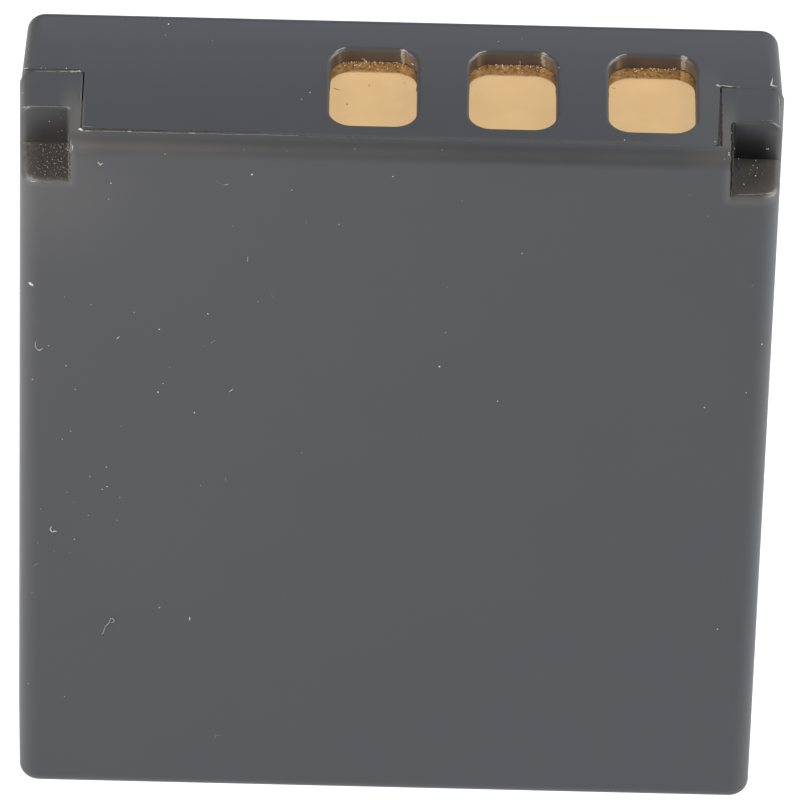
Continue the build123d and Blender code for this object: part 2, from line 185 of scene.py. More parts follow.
# Painted shade on the notches' rear walls, darker in the right notch
WALL_SHADE_COLOURS = ((0.028, 0.0275, 0.0275), (0.0105, 0.0105, 0.0105))  # left notch, right notch
DUST_COLOURS = ((0.115, 0.110, 0.101), (0.064, 0.061, 0.056))  # left notch, right notch
DEEP_DUST_COLOUR = (0.046, 0.0415, 0.035)
# Painted shade on the right notch's inner edge
EDGE_SHADE_COLOUR = (0.008, 0.008, 0.0075)
EDGE_ROUGHNESS = 0.95
# Warm light bounced from the gold, painted on the windows' walls
WINDOW_BOUNCE_COLOUR = (0.064, 0.053, 0.044)
# Painted shade in the windows' left corners
CORNER_SHADE_COLOUR = (0.025, 0.017, 0.011)
CORNER_ROUGHNESS = 0.8

# Gold plating: sizes of its mottle, and the band at the foot of each window's rear wall, partly stain and
# partly a painted reflection of that wall
GOLD_MOTTLE = 1.5 * MM
GOLD_GRAIN = 0.05 * MM
GOLD_COLOURS = ((0.93, 0.54, 0.22), (0.97, 0.57, 0.235))
GOLD_ROUGHNESS = (0.08, 0.13)
GOLD_METALLIC = (0.9, 0.75)  # clean, near the rear band
REAR_BAND_MOTTLE = 0.18 * MM
REAR_BAND_FADE = (0.49, 0.6, 0.0, 1.0)
STAIN_AND_REFLECTION_COLOUR = (0.5, 0.265, 0.095)
REAR_BAND_REACH = (0.85 * MM, 0.7 * MM)

# Plain finishes, of the nodes by their slot and of the wear, dirt and painted light: name, dark and light
# colour, least and most roughness, size of the mottle, and for some the metallic share and the specular
# level
NODE_FINISHES = {
    "cell_can": ("drawn_can", (0.55, 0.56, 0.57), (0.66, 0.67, 0.68), 0.25, 0.4, 0.8 * MM, 1.0),
    "gasket": ("black_gasket", (0.012, 0.012, 0.013), (0.02, 0.02, 0.021), 0.4, 0.55, 0.3 * MM),
    "nickel": ("nickel_strip", (0.55, 0.53, 0.49), (0.66, 0.64, 0.60), 0.22, 0.36, 0.3 * MM, 1.0),
    "insulator_paper": ("pressed_paper", (0.07, 0.13, 0.11), (0.1, 0.17, 0.15), 0.75, 0.9, 0.2 * MM),
    "cutoff_body": ("cutoff_wrap", (0.015, 0.015, 0.017), (0.025, 0.025, 0.028), 0.3, 0.45, 0.4 * MM),
    "board_laminate": ("green_laminate", (0.02, 0.12, 0.05), (0.03, 0.16, 0.07), 0.35, 0.5, 0.4 * MM),
    "chip_body": ("chip_moulding", (0.012, 0.012, 0.012), (0.02, 0.02, 0.02), 0.5, 0.65, 0.1 * MM),
    "ceramic_dark": ("dark_ceramic", (0.015, 0.015, 0.016), (0.03, 0.03, 0.032), 0.25, 0.4, 0.1 * MM),
    "ceramic_tan": ("tan_ceramic", (0.30, 0.20, 0.11), (0.38, 0.26, 0.15), 0.4, 0.55, 0.1 * MM),
    "adhesive": ("white_adhesive", (0.66, 0.66, 0.63), (0.74, 0.74, 0.71), 0.5, 0.7, 0.5 * MM),
    "foam": ("closed_foam", (0.02, 0.02, 0.02), (0.04, 0.04, 0.04), 0.85, 0.95, 0.15 * MM),
}
WEAR_FINISHES = {
    "pale_dust": ((0.42, 0.42, 0.41), (0.55, 0.55, 0.54), 0.8, 0.95, 0.03 * MM),
    # Scuffs, flash and grains, and painted highlights on rounded edges and window rims
    "stressed_plastic_and_glint": ((0.26, 0.26, 0.25), (0.36, 0.355, 0.34), 0.5, 0.7, 0.05 * MM),
    # Faint scuffs, and pale edges that are partly painted highlights
    "worn_plastic_and_highlight": ((0.10, 0.10, 0.098), (0.16, 0.157, 0.15), 0.5, 0.65, 0.1 * MM),
    # Burrs, and the painted highlight along the tongue's edge
    "rubbed_plastic_and_highlight": ((0.047, 0.046, 0.046), (0.057, 0.056, 0.055), 0.45, 0.55, 0.2 * MM),
    "smeared_plastic": ((0.037, 0.038, 0.039), (0.041, 0.042, 0.043), 0.46, 0.5, 0.2 * MM),
    # Painted highlight in the windows' right corners
    "corner_highlight_plastic": ((0.19, 0.17, 0.155), (0.235, 0.215, 0.20), 0.4, 0.55, 0.2 * MM),
    # Painted shade along the left seams, and dirt in the right crack
    "brown_grime_and_shade": ((0.014, 0.010, 0.008), (0.020, 0.015, 0.012), 0.75, 0.9, 0.1 * MM),
    # Painted shade on the right notch's inner edge
    "matt_painted_shade": ((0.010, 0.010, 0.009), (0.016, 0.016, 0.014), 0.9, 1.0, 0.1 * MM, 0.0, 0.0),
    "brown_silt": ((0.026, 0.021, 0.018), (0.036, 0.029, 0.025), 0.75, 0.9, 0.1 * MM),
    "grit": ((0.06, 0.059, 0.055), (0.18, 0.175, 0.16), 0.7, 0.9, 0.08 * MM),
    "shavings": ((0.42, 0.33, 0.26), (0.62, 0.53, 0.45), 0.5, 0.7, 0.08 * MM),
    "tarnish": ((0.10, 0.045, 0.018), (0.16, 0.075, 0.03), 0.5, 0.7, 0.05 * MM),
    # Painted shade where each window's wall meets its contact
    "dark_crease_shade": ((0.022, 0.008, 0.004), (0.04, 0.016, 0.008), 0.6, 0.8, 0.05 * MM),
}

# Marks are placed by pixels of the photograph. A grain has its place and its width. A line has its
# points, its width and its height, and the level that it lies on where that isn't the surface it meets.
IN_SEAM = END_Z - 0.02 * MM

# Dust, scuffs, lint and chips on the panel and the front
PANEL_DUST = (
    (168.4, 24.4, 1.6), (165.5, 35.4, 0.85), (498.5, 41.5, 0.85), (310.1, 92.6, 1.2), (624.4, 140.2, 1.1),
    (715.2, 142, 1.0), (559, 68, 1.2), (41, 68.3, 0.8), (45.6, 68.3, 0.6), (66.3, 68.3, 0.7),
    (212.3, 40.4, 0.8), (521.7, 39.4, 0.8),
)
FACE_DUST = (
    (355, 149, 0.8), (442, 150, 0.7), (165, 154, 0.8), (244, 149.6, 0.5), (287, 151, 0.6),
    (728.8, 152.8, 1.2), (729, 155, 1.2), (724.6, 159.1, 0.6), (252, 174.3, 1.5), (393, 176.4, 1.3),
    (111, 183, 1.2), (291.8, 190, 0.95), (690, 195, 0.5), (108.5, 199, 1.0), (462, 201, 0.75),
    (708, 216, 0.7), (339, 224.4, 0.8), (232.6, 226, 0.6), (522, 253.3, 1.0), (447, 287, 0.75),
    (64.7, 296.8, 0.75), (257.8, 301.4, 0.7), (91, 304.6, 0.6),
    (134.2, 312.2, 1.0), (207.9, 313.6, 1.4), (159.3, 329.3, 1.2), (445.5, 332.5, 0.9), (48.6, 345.6, 1.1),
    (203.2, 346, 0.5), (66, 365.6, 0.95), (439.5, 366.5, 1.6), (169.5, 367.3, 0.6), (163, 383.2, 0.85),
    (75.3, 389.4, 0.9), (158.1, 391.9, 1.45), (497.7, 401, 1.3), (704.4, 407.4, 1.4), (194.5, 412.6, 1.25),
    (120.6, 425.9, 0.65), (70.7, 431, 0.9), (62.4, 439.3, 0.85), (301.9, 452.6, 0.8), (106.5, 466.9, 1.05),
    (89.9, 476.5, 0.75), (200.5, 485.1, 0.75), (107, 486.5, 1.2), (102.3, 489.2, 0.95), (67.2, 492.2, 0.75),
    (119.9, 497.3, 1.05), (88.2, 515.2, 0.8), (117, 520.2, 0.8), (74.6, 539.2, 1.05), (53.9, 551.2, 0.5),
    (159.4, 607.3, 1.2), (189.7, 617.8, 1.4), (189.7, 619.4, 1.4), (717.4, 629, 1.3), (28.5, 683.5, 1.0),
    (64.5, 696.5, 0.9), (32.5, 379.3, 0.95), (40.8, 508.8, 0.65), (37.7, 543, 0.65), (70, 552.6, 0.55),
    (73.6, 502, 0.5), (761.6, 344.2, 1.35), (746.2, 392.7, 1.1), (32.8, 320, 0.5),
)
FACE_SCUFFS = (
    (((51.5, 526.2), (50.2, 529.3), (52, 532.2), (55, 531), (57, 531.4)), 1.8, 1.0),
    (((247.9, 256.2), (247.6, 262)), 0.9, 0.5),
    (((98, 161.6), (98.2, 163), (100.3, 164.5), (102.8, 163)), 1.6, 0.9),
    (((223.4, 184.8), (226.4, 184.9), (229.4, 183.4)), 0.55, 0.4),
    (((116.3, 339.2), (119.7, 336.1)), 0.8, 0.5),
    ((
        (36.4, 340.2), (35.3, 342.8), (35.4, 346.2), (37, 349.2), (39, 350.3), (41.2, 349.4), (43, 347.9),
    ), 1.0, 0.6),
    (((228.9, 392.1), (233.2, 388.8)), 0.95, 0.5),
    (((23.6, 91.8), (21.4, 94.6)), 0.7, 0.5),
    (((301.2, 98.3), (302.4, 101)), 0.9, 0.6),
    (((772.4, 77.8), (771.3, 83.5), (770.6, 85.4), (777, 86.4)), 1.7, 0.9),
)
FAINT_SCUFFS = (
    (((214.6, 178.6), (219, 182.6), (223.4, 184.8)), 0.55, 0.3),
    (((306, 219), (306.2, 224)), 0.4, 0.2),
    (((270.8, 292.7), (273.9, 298.8)), 0.5, 0.2),
    (((210.5, 344.4), (213, 341.3), (215.6, 340.4)), 0.9, 0.5),
    (((225.1, 477.5), (226.3, 481.7)), 0.9, 0.5),
    (((214, 740), (215.6, 735.6), (222.6, 734.8)), 0.7, 0.2),
    (((33.6, 566), (36, 564.2), (39, 563.8)), 0.9, 0.4),
    (((30, 593), (33.2, 592.6)), 1.1, 0.5),
    (((750.8, 286.6), (752.6, 285.6), (754, 284.4)), 0.8, 0.4),
)
LINT = (
    ((
        (101.2, 634.1), (103.2, 632.9), (104, 629.9), (105.4, 626.4), (109, 622.9), (109.9, 620.7),
        (110.8, 618.2), (113.6, 619), (114.7, 620.4), (113.2, 622), (110, 622.6),
    ), 0.7, 0.7),
)
FACE_CHIPS = (
    (((28.7, 282.3), (31, 284), (33.6, 285.8)), 2.5, 1.4),
)

# Flash on the seams and on the edges of the notches, partly painted highlights of rounded edges
SEAM_FLASH_AND_HIGHLIGHT = (
    (((23, 68.6), (28.5, 68.4)), 1.0, 0.7),
    (((69, 71.7), (80.2, 71.4)), 1.0, 0.8),
    (((716, 85.6), (720.6, 86.2)), 3.0, 1.6),
    (((719, 85.8), (727, 86.2), (734, 87)), 1.1, 0.9),
    (((84, 130.9), (93, 131.2)), 0.9, 0.6, END_Z),
    (((127, 131.4), (132, 131.6)), 0.7, 0.5, END_Z),
    (((188, 133), (196, 133.2)), 0.8, 0.5, END_Z),
    (((22.6, 107.4), (30.3, 107)), 0.9, 0.7),
    (((30, 180.8), (35.5, 182)), 0.9, 0.6),
    (((72.4, 145), (72.8, 151)), 1.0, 0.6),
    (((766, 193.8), (772.5, 192.5)), 0.8, 0.5),
    (((778.8, 96), (779.4, 104), (779.7, 112), (779.5, 123.4)), 1.0, 0.5),
)
SEAM_BURR = (
    (((78.3, 129), (80.5, 129.8), (83, 130.6)), 2.3, 1.7, END_Z),
    (((79.4, 70.6), (80.4, 72)), 1.2, 0.9, END_Z),
)
# Pale lines along edges and seams: partly wear, partly painted highlights of rounded edges
EDGE_WEAR_AND_HIGHLIGHT = (
    (((34, 71.4), (46, 71.5), (58, 71.6)), 0.9, 0.6),
    (((58, 71.6), (70, 71.7)), 1.2, 0.7),
    (((733, 87), (740, 87)), 0.7, 0.5),
    (((81.6, 74), (81.4, 84), (81, 91)), 0.5, 0.3, END_Z),
    (((80.9, 91), (80.3, 101)), 1.0, 0.6, END_Z),
    (((82, 126.2), (93, 127)), 0.9, 0.4, END_Z),
    (((93, 131), (127, 131.8)), 1.3, 0.4, END_Z),
    (((132, 132), (188, 133.3)), 1.3, 0.4, END_Z),
    (((196, 133.5), (250, 134.6), (300, 135.7)), 1.1, 0.4, END_Z),
    (((33, 106.6), (45, 106.4), (60, 106.6)), 0.8, 0.5),
    (((60, 106.7), (69.4, 107)), 1.0, 0.7),
    (((44, 182), (52, 182.2)), 0.8, 0.5),
    (((60, 182.3), (70, 182.4)), 0.9, 0.6),
    (((761, 120.4), (763.5, 120.4)), 0.8, 0.5),
    (((767, 120.4), (773, 120.6)), 1.0, 0.6),
    (((736, 162.8), (738.5, 167.5), (742.3, 170.8)), 0.6, 0.4),
    (((735, 194.8), (750, 194.6), (766, 193.8)), 0.9, 0.6),
)
# Painted highlight along the tongue's rounded front edge, and a film that closes the seam behind the right
# post
TONGUE_EDGE_HIGHLIGHT = (
    (((300, 135.8), (450, 139.2), (600, 142.8), (717, 145.4)), 2.2, 0.3, END_Z),
)
SEAM_FILM = (
    (((734, 87.4), (755, 88.1), (776, 89)), 2.4, 0.2, END_Z),
)
# Painted shade along the left seams, dark dirt in the right crack, and paler dirt in both cracks
SEAM_SHADE_AND_GRIME = (
    (((24, 69.2), (55, 69.4), (80, 69.6)), 1.3, 0.3, END_Z),
    (((84, 129), (110, 129.4), (170, 130.9)), 2.2, 0.2, END_Z),
    (((170, 130.8), (262, 132.6)), 1.2, 0.2, END_Z),
    (((720.7, 92), (720.4, 118)), 1.8, 0.4, IN_SEAM),
    (((720.4, 118), (720, 144.5)), 3.0, 0.4, IN_SEAM),
    (((721.8, 100), (722, 120), (722.1, 145)), 1.8, 0.2, END_Z),
)
CRACK_SILT = (
    (((82.5, 100), (81.7, 112), (81.2, 128)), 3.2, 0.3, IN_SEAM),
    (((719.4, 104), (718.9, 125), (718.6, 136)), 1.4, 0.4, IN_SEAM),
    (((719.4, 133), (718.9, 146.5)), 4.2, 0.4, IN_SEAM),
)

# Matt painted shade on the inner edge of the right notch, and burrs along the inner edge of the left one
EDGE_PAINTED_SHADE = (
    (((732.3, 124), (732.3, 148), (731.9, 174.8), (731.1, 192)), 2.3, 0.2),
)
BURR_EDGE = ((69.2, 133), (69.4, 181))
BURR_COUNT = 34
BURR_WIDTHS = (1.2, 3.0)
BURR_LONGEST = 1.6  # length of the longest, in widths

# Grains in the left notch and in the right notch
LEFT_NOTCH_GRAINS = (
    (49.4, 121, 1.2), (61, 117.8, 0.8), (62.2, 130.4, 0.7), (58, 131.7, 0.6), (23.3, 142.8, 0.9),
    (29.9, 144, 0.9), (40.2, 144.5, 1.0), (42, 144.5, 0.9), (43.1, 151.1, 1.1), (59.3, 144.9, 1.3),
    (47.3, 161.9, 1.1), (54.7, 163.6, 1.1), (39, 165.4, 1.1), (47.7, 167.3, 1.1), (54.7, 170.2, 0.9),
    (60.5, 161.5, 0.8), (63.9, 167.7, 0.9), (68, 146.6, 1.4), (67.6, 150.3, 1.4), (68.8, 164.4, 1.4),
    (68.4, 175.2, 1.2),
)
RIGHT_NOTCH_GRAINS = (
    (731.5, 132.9, 0.8), (734.3, 148.8, 0.9), (766.6, 148.8, 1.5), (768.2, 148.8, 1.4), (738.5, 159.1, 1.3),
    (755.9, 160.4, 0.9), (752.9, 165.6, 1.1), (757.2, 168, 1.0), (750.8, 169.9, 0.8), (749.1, 174.2, 0.7),
    (755.5, 175.9, 1.2), (743.8, 184.6, 1.2),
)
# Grit that covers a floor: corners of the patch and number of grains
NOTCH_GRIT = (((25, 144), (69.5, 179), 240), ((735, 164), (764, 190), 30))
GRIT_WIDTHS = (0.5, 1.7)
GRIT_LEAN = 0.6  # below one, more grains lie to the right
GRIT_FINENESS = 2  # above one, more grains are small

# Windows: the middle of the foot of each one's rear wall, and the light marks about it: pale arcs on the
# rims, a painted glint on each rim and a painted highlight in each right corner
WINDOW_MIDDLES = ((373, 62.2), (513.3, 65.4), (653.3, 68.6))
WINDOW_RIM = ((-38.5, -9.6), (-34.5, -12.3), (-31, -13.6), (-26.5, -14.6))
WINDOW_GLINT = ((27, -12.4), (30.5, -12.2), (35, -10))
# Painted highlight in the right corner of each window
WINDOW_CORNER_HIGHLIGHT = ((29.8, -13), (30.2, 2))
RIM_WIDTHS = (1.0, 1.0, 1.0)
GLINT_WIDTHS = (1.3, 1.3, 1.3)
CORNER_HIGHLIGHT_WIDTHS = (5.6, 6.4, 7.8)
CONTACTS = ("contact_positive", "contact_sense", "contact_negative")
CONTACT_LAP = 0.35 * MM  # border of each contact that the panel covers
WINDOW_RADIUS = 1.05 * MM
FOOT_REACH = 2.2 * MM  # how far the painted shade runs forward along a window's sides from its rear wall
FOOT_LINE = (1.5, 0.7)  # width and height of that painted shade
DEBRIS_GAP = 0.03 * MM
DEBRIS_REACH = 0.7 * MM
DEBRIS_COUNT = 70
DEBRIS_WIDTHS = (0.4, 1.3)
DEBRIS_LEAN = 4  # above one, more shavings lie at the wall
DEBRIS_FINENESS = 1.5
DEBRIS_LONGEST = 2.0  # length of the longest, in widths
WINDOW_SLIVERS = (
    (((361.5, 58.4), (364, 59.6), (367.5, 61.6)), 0.9, 0.6),
    (((520, 60.5), (520.4, 63.8), (519.6, 66)), 0.7, 0.5),
    (((672.6, 67.6), (674, 70), (676.2, 67.4)), 1.0, 0.6),
    (((501.5, 66.6), (503.6, 69)), 1.4, 0.8),
    (((331.6, 70), (333.8, 70.6)), 0.8, 0.5),
    (((634.2, 71.6), (636.4, 71.8)), 1.3, 0.8),
    (((411, 63), (414, 65)), 0.7, 0.4),
)
CONTACT_SPECKS = ((369.2, 85.4, 1.1), (347.2, 104.4, 1.2), (404.6, 83, 0.8), (490, 93.5, 0.6))
CONTACT_SCRATCHES = (
    (((333, 88), (340, 90.4)), 0.6, 0.3),
    (((612, 87.6), (615.6, 88.8)), 0.7, 0.3),
)

# Pieces of wear, dirt, painted shade and painted highlight on the shells: their finish, lines and grains
SHELL_MARKS = {
    "panel_dust": ("pale_dust", (), PANEL_DUST),
    "face_dust": ("pale_dust", (), FACE_DUST),
    "face_scuffs": ("stressed_plastic_and_glint", FACE_SCUFFS, ()),
    "faint_scuffs": ("worn_plastic_and_highlight", FAINT_SCUFFS, ()),
    "lint": ("stressed_plastic_and_glint", LINT, ()),
    "face_chips": ("pale_dust", FACE_CHIPS, ()),
    # seam_flash: flash, partly painted highlights of rounded edges
    "seam_flash": ("stressed_plastic_and_glint", SEAM_FLASH_AND_HIGHLIGHT, ()),
    "seam_burr": ("pale_dust", SEAM_BURR, ()),
    # worn_edges: partly wear, partly painted highlights of rounded edges
    "worn_edges": ("worn_plastic_and_highlight", EDGE_WEAR_AND_HIGHLIGHT, ()),
    # rubbed_edges: painted highlight along the tongue's rounded front edge
    "rubbed_edges": ("rubbed_plastic_and_highlight", TONGUE_EDGE_HIGHLIGHT, ()),
    "seam_film": ("smeared_plastic", SEAM_FILM, ()),
    # seam_grime: painted shade along the left seams, and dirt in the right crack
    "seam_grime": ("brown_grime_and_shade", SEAM_SHADE_AND_GRIME, ()),
    "crack_silt": ("brown_silt", CRACK_SILT, ()),
    "left_notch_grains": ("stressed_plastic_and_glint", (), LEFT_NOTCH_GRAINS),
    "right_notch_grains": ("pale_dust", (), RIGHT_NOTCH_GRAINS),
    # edge_grime: painted shade on the right notch's inner edge
    "edge_grime": ("matt_painted_shade", EDGE_PAINTED_SHADE, ()),
}
# Pieces that repeat one line at each window: their finish, line, widths and height
WINDOW_MARKS = {
    "window_rims": ("stressed_plastic_and_glint", WINDOW_RIM, RIM_WIDTHS, 0.5),
    "window_glints": ("stressed_plastic_and_glint", WINDOW_GLINT, GLINT_WIDTHS, 0.5),
    # window_corners: painted highlight in each window's right corner
    "window_corners": ("corner_highlight_plastic", WINDOW_CORNER_HIGHLIGHT, CORNER_HIGHLIGHT_WIDTHS, 0.3),
}

TRACE_STEP = 1.4  # pixels between the points of a traced line
FOOT_STEPS = 12  # steps round a corner of a window's foot

# Ridges: their section, the width at their tips and how fast it grows, and limits of what is drawn
RIDGE_SECTION = ((-1, -0.6), (-0.6, 0.55), (0, 1), (0.6, 0.55), (1, -0.6))
RIDGE_TIP = 0.3
RIDGE_GROWTH = 0.25
SHORT_RIDGE_GROWTH = 3
RIDGE_HALVES = (0.65, 1.35)
RIDGE_CRESTS = (0.6, 1.4)
RIDGE_DRIFT = (-0.2, 0.2)

# Grains: how far they rise from the surface, and limits of what is drawn
GRAIN_SEAT = 0.2
GRAIN_LENGTHS = (0.8, 1.3)
GRAIN_BREADTHS = (0.8, 1.1)
GRAIN_HEIGHTS = (0.6, 0.9)
GRAIN_LUMPS = (0.8, 1.2)


def camera_axes():
    """Right, up and back directions of the camera."""
    back = Vector((
        sin(VIEW_YAW) * cos(VIEW_ELEVATION),
        -cos(VIEW_YAW) * cos(VIEW_ELEVATION),
        sin(VIEW_ELEVATION),
    ))
    level = Vector((cos(VIEW_YAW), sin(VIEW_YAW), 0))
    upright = back.cross(level)
    right = level * cos(VIEW_ROLL) + upright * sin(VIEW_ROLL)
    up = upright * cos(VIEW_ROLL) - level * sin(VIEW_ROLL)
    return right, up, back


def add_camera():
    right, up, back = camera_axes()
    data = bpy.data.cameras.new("camera")
    data.lens = LENS
    data.sensor_width = SENSOR
    data.clip_end = VIEW_REACH
    camera = bpy.data.objects.new("camera", data)
    turn = Matrix((right, up, back)).transposed().to_4x4()
    camera.matrix_world = Matrix.Translation(VIEW_TARGET + back * VIEW_DISTANCE) @ turn
    bpy.context.collection.objects.link(camera)
    bpy.context.scene.camera = camera


class Graph:
    """A node tree that is built from the top down: each call adds a node and links its inputs."""

    def __init__(self, tree):
        self.tree = tree
        tree.nodes.clear()

    def add(self, kind, inputs=None, **settings):
        node = self.tree.nodes.new(kind)
        for key, value in settings.items():
            setattr(node, key, value)
        for key, value in (inputs or {}).items():
            if isinstance(value, bpy.types.NodeSocket):
                self.tree.links.new(value, node.inputs[key])
            else:
                node.inputs[key].default_value = value
        return node

    def noise(self, place, size, detail=3.0):
        """Noise with features of about the given size in metres."""
        inputs = {"Vector": place, "Scale": 1 / size, "Detail": detail}
        return self.add("ShaderNodeTexNoise", inputs).outputs["Fac"]

    def spread(self, value, low, high, out_low, out_high):
        """Smooth step from one range to another."""
        ranges = {"From Min": low, "From Max": high, "To Min": out_low, "To Max": out_high}
        node = self.add("ShaderNodeMapRange", {"Value": value, **ranges}, interpolation_type="SMOOTHSTEP")
        return node.outputs["Result"]

    def product(self, first, *others):
        """All values multiplied together."""
        for other in others:
            first = self.add("ShaderNodeMath", {0: first, 1: other}, operation="MULTIPLY").outputs[0]
        return first

    def past(self, value, limit):
        """One from a limit on, with a soft end below it."""
        return self.spread(value, limit - SOFTNESS, limit, 0.0, 1.0)

    def until(self, value, limit):
        """One up to a limit, with a soft end above it."""
        return self.spread(value, limit, limit + SOFTNESS, 1.0, 0.0)

    def band(self, value, low, high):
        """One between two limits, with soft ends outside them, and zero elsewhere."""
        return self.product(self.past(value, low), self.until(value, high))

    def largest(self, first, *others):
        """The largest of all values."""
        for other in others:
            first = self.add("ShaderNodeMath", {0: first, 1: other}, operation="MAXIMUM").outputs[0]
        return first

    def mix(self, factor, first, second):
        """Colour between two colours, each a socket or three numbers."""
        node = self.tree.nodes.new("ShaderNodeMix")
        node.data_type = "RGBA"
        self.tree.links.new(factor, node.inputs[0])
        for index, colour in ((6, first), (7, second)):
            if isinstance(colour, bpy.types.NodeSocket):
                self.tree.links.new(colour, node.inputs[index])
            else:
                node.inputs[index].default_value = (*colour, 1)
        return node.outputs[2]


def add_world():
    """Dim sky with the bright patch that the contacts mirror into the camera."""
    world = bpy.data.worlds.new("studio")
    world.use_nodes = True
    g = Graph(world.node_tree)
    direction = g.add("ShaderNodeTexCoord").outputs["Generated"]
    back = camera_axes()[2]
    mirrored = Vector((-back.x, -back.y, back.z))
    aim = g.add("ShaderNodeVectorMath", {0: direction, 1: mirrored}, operation="DOT_PRODUCT")
    colour = g.mix(g.spread(aim.outputs["Value"], *PATCH_FADE), SKY_COLOUR, PATCH_COLOUR)
    light = g.add("ShaderNodeBackground", {"Color": colour, "Strength": 1.0})
    g.add("ShaderNodeOutputWorld", {"Surface": light.outputs[0]})
    bpy.context.scene.world = world
    bpy.context.scene.view_settings.view_transform = "Standard"


def add_lamps():
    for name, (place, aim, width, height, power, colour) in LAMPS.items():
        data = bpy.data.lights.new(name, "AREA")
        data.shape = "RECTANGLE"
        data.size = width
        data.size_y = height
        data.energy = power
        data.color = colour
        lamp = bpy.data.objects.new(name, data)
        lamp.location = place
        lamp.rotation_euler = (aim - place).to_track_quat("-Z", "Y").to_euler()
        lamp.visible_camera = False
        bpy.context.collection.objects.link(lamp)


def material(name):
    """New material with one principled shader: the material, its graph, the shader and the place."""
    made = bpy.data.materials.new(name)
    made.use_nodes = True
    g = Graph(made.node_tree)
    shader = g.add("ShaderNodeBsdfPrincipled")
    g.add("ShaderNodeOutputMaterial", {"Surface": shader.outputs["BSDF"]})
    place = g.add("ShaderNodeTexCoord").outputs["Object"]
    return made, g, shader, place


def finish(g, shader, colour, roughness, height=None, depth=0.0, **fixed):
    """Link what varies over the surface and set what doesn't."""
    g.tree.links.new(colour, shader.inputs["Base Color"])
    g.tree.links.new(roughness, shader.inputs["Roughness"])
    if height:
        bump = g.add("ShaderNodeBump", {"Height": height, "Distance": depth, "Strength": 1.0})
        g.tree.links.new(bump.outputs["Normal"], shader.inputs["Normal"])
    for key, value in fixed.items():
        shader.inputs[key.replace("_", " ")].default_value = value


def coordinates(g, place):
    """Place along each axis, distance from the middle, normal, and how level the surface is."""
    geometry = g.add("ShaderNodeNewGeometry").outputs["Normal"]
    normal = g.add("ShaderNodeSeparateXYZ", {0: geometry}).outputs
    x, y, z = g.add("ShaderNodeSeparateXYZ", {0: place}).outputs
    across = g.add("ShaderNodeMath", {0: x}, operation="ABSOLUTE").outputs[0]
    return x, y, z, across, normal, g.spread(normal["Z"], *LEVEL_FADE)


def notch_places(g, spot):
    """Shares of the inside of the notches, of the painted shade on their rear walls, of their floors, and
    of the painted shade on the right one's inner edge.
    """
    x, y, z, across, normal, level = spot
    inside = g.spread(across, *NOTCH_SIDE_FADE)
    wall = g.product(
        g.spread(normal["Y"], *WALL_FACING_FADE), inside, g.spread(z, *WALL_HEIGHT_FADE),
        g.past(across, NOTCH_INNER), g.band(y, *WALL_DEPTH),
    )
    floor = g.product(level, g.spread(z, *NOTCH_DEPTH_FADE))
    edge = g.product(
        g.spread(normal["X"], *EDGE_ROUND_FADE), g.spread(normal["X"], *EDGE_FLAT_FADE),
        g.band(x, *EDGE_WIDTH), g.band(z, NOTCH_FLOOR, END_Z),
    )
    return inside, wall, floor, edge


def window_places(g, spot):
    """Shares of the windows' walls, where warm light bounced from the gold is painted, and of their left
    corners, where shade is painted.
    """
    _, y, z, across, normal, _ = spot
    walls = g.product(
        g.band(across, 0, WINDOW_ROW_HALF), g.band(y, *WINDOW_ROW_DEPTH), g.band(z, *WINDOW_ROW_HEIGHT),
    )
    return walls, g.product(walls, g.spread(normal["X"], *CORNER_FADE))


def pale_top(g, spot):
    """Share of the plastic on the contact end that is pale, partly rubbed wear and partly painted
    highlight.
    """
    x, y, z, across, _, _ = spot
    rib = g.product(
        g.past(across, RIB_INNER), g.spread(across, *RIB_OUTER_FADE), g.spread(x, *RIB_RIGHT_FADE),
        g.spread(y, *RIB_REAR_FADE), g.spread(y, *RIB_FRONT_FADE), g.spread(z, *RIB_TOP_FADE),
    )
    rim = g.product(g.until(y, RIM_REAR - SOFTNESS), g.largest(*(g.spread(x, *fade) for fade in RIM_FADES)))
    seam = g.product(g.band(y, RIM_REAR - SOFTNESS, RIM_REAR + SOFTNESS), SEAM_STRENGTH)
    panel = g.product(
        g.spread(x, *PANEL_SIDE_FADE), g.until(x, RIB_INNER),
        g.spread(y, *PANEL_REAR_FADE), g.past(y, RIM_REAR),
    )
    return g.product(g.largest(rib, rim, seam, panel), g.spread(z, *TOP_FADE))


def pale_front(g, spot, place):
    """Share of the plastic with a painted highlight on the front, on the left side and at the foot."""
    x, y, z, across, normal, level = spot
    around = g.product(
        g.spread(across, *AROUND_SIDE_FADE), g.spread(z, *AROUND_LOW_FADE), g.spread(y, *AROUND_REAR_FADE),
        g.spread(level, 0.0, 1.0, 1.0, 0.0), g.spread(z, *AROUND_TOP_FADE),
    )
    reach = g.add("ShaderNodeVectorMath", {0: place, 1: HALO_CENTRE}, operation="DISTANCE").outputs["Value"]
    halo = g.product(g.spread(reach, *HALO_FADE), g.spread(z, *HALO_TOP_FADE))
    left = g.product(
        g.spread(x, *LEFT_FADE), g.spread(z, *LEFT_HEIGHT_FADE), g.spread(normal["X"], *LEFT_FLAT_FADE),
    )
    outer = g.product(
        g.spread(x, *OUTER_FADE), g.spread(z, *OUTER_TOP_FADE), g.spread(y, *OUTER_REAR_FADE),
        g.past(z, NOTCH_FLOOR),
    )
    return g.largest(around, halo, left, outer, g.spread(z, *FOOT_FADE))


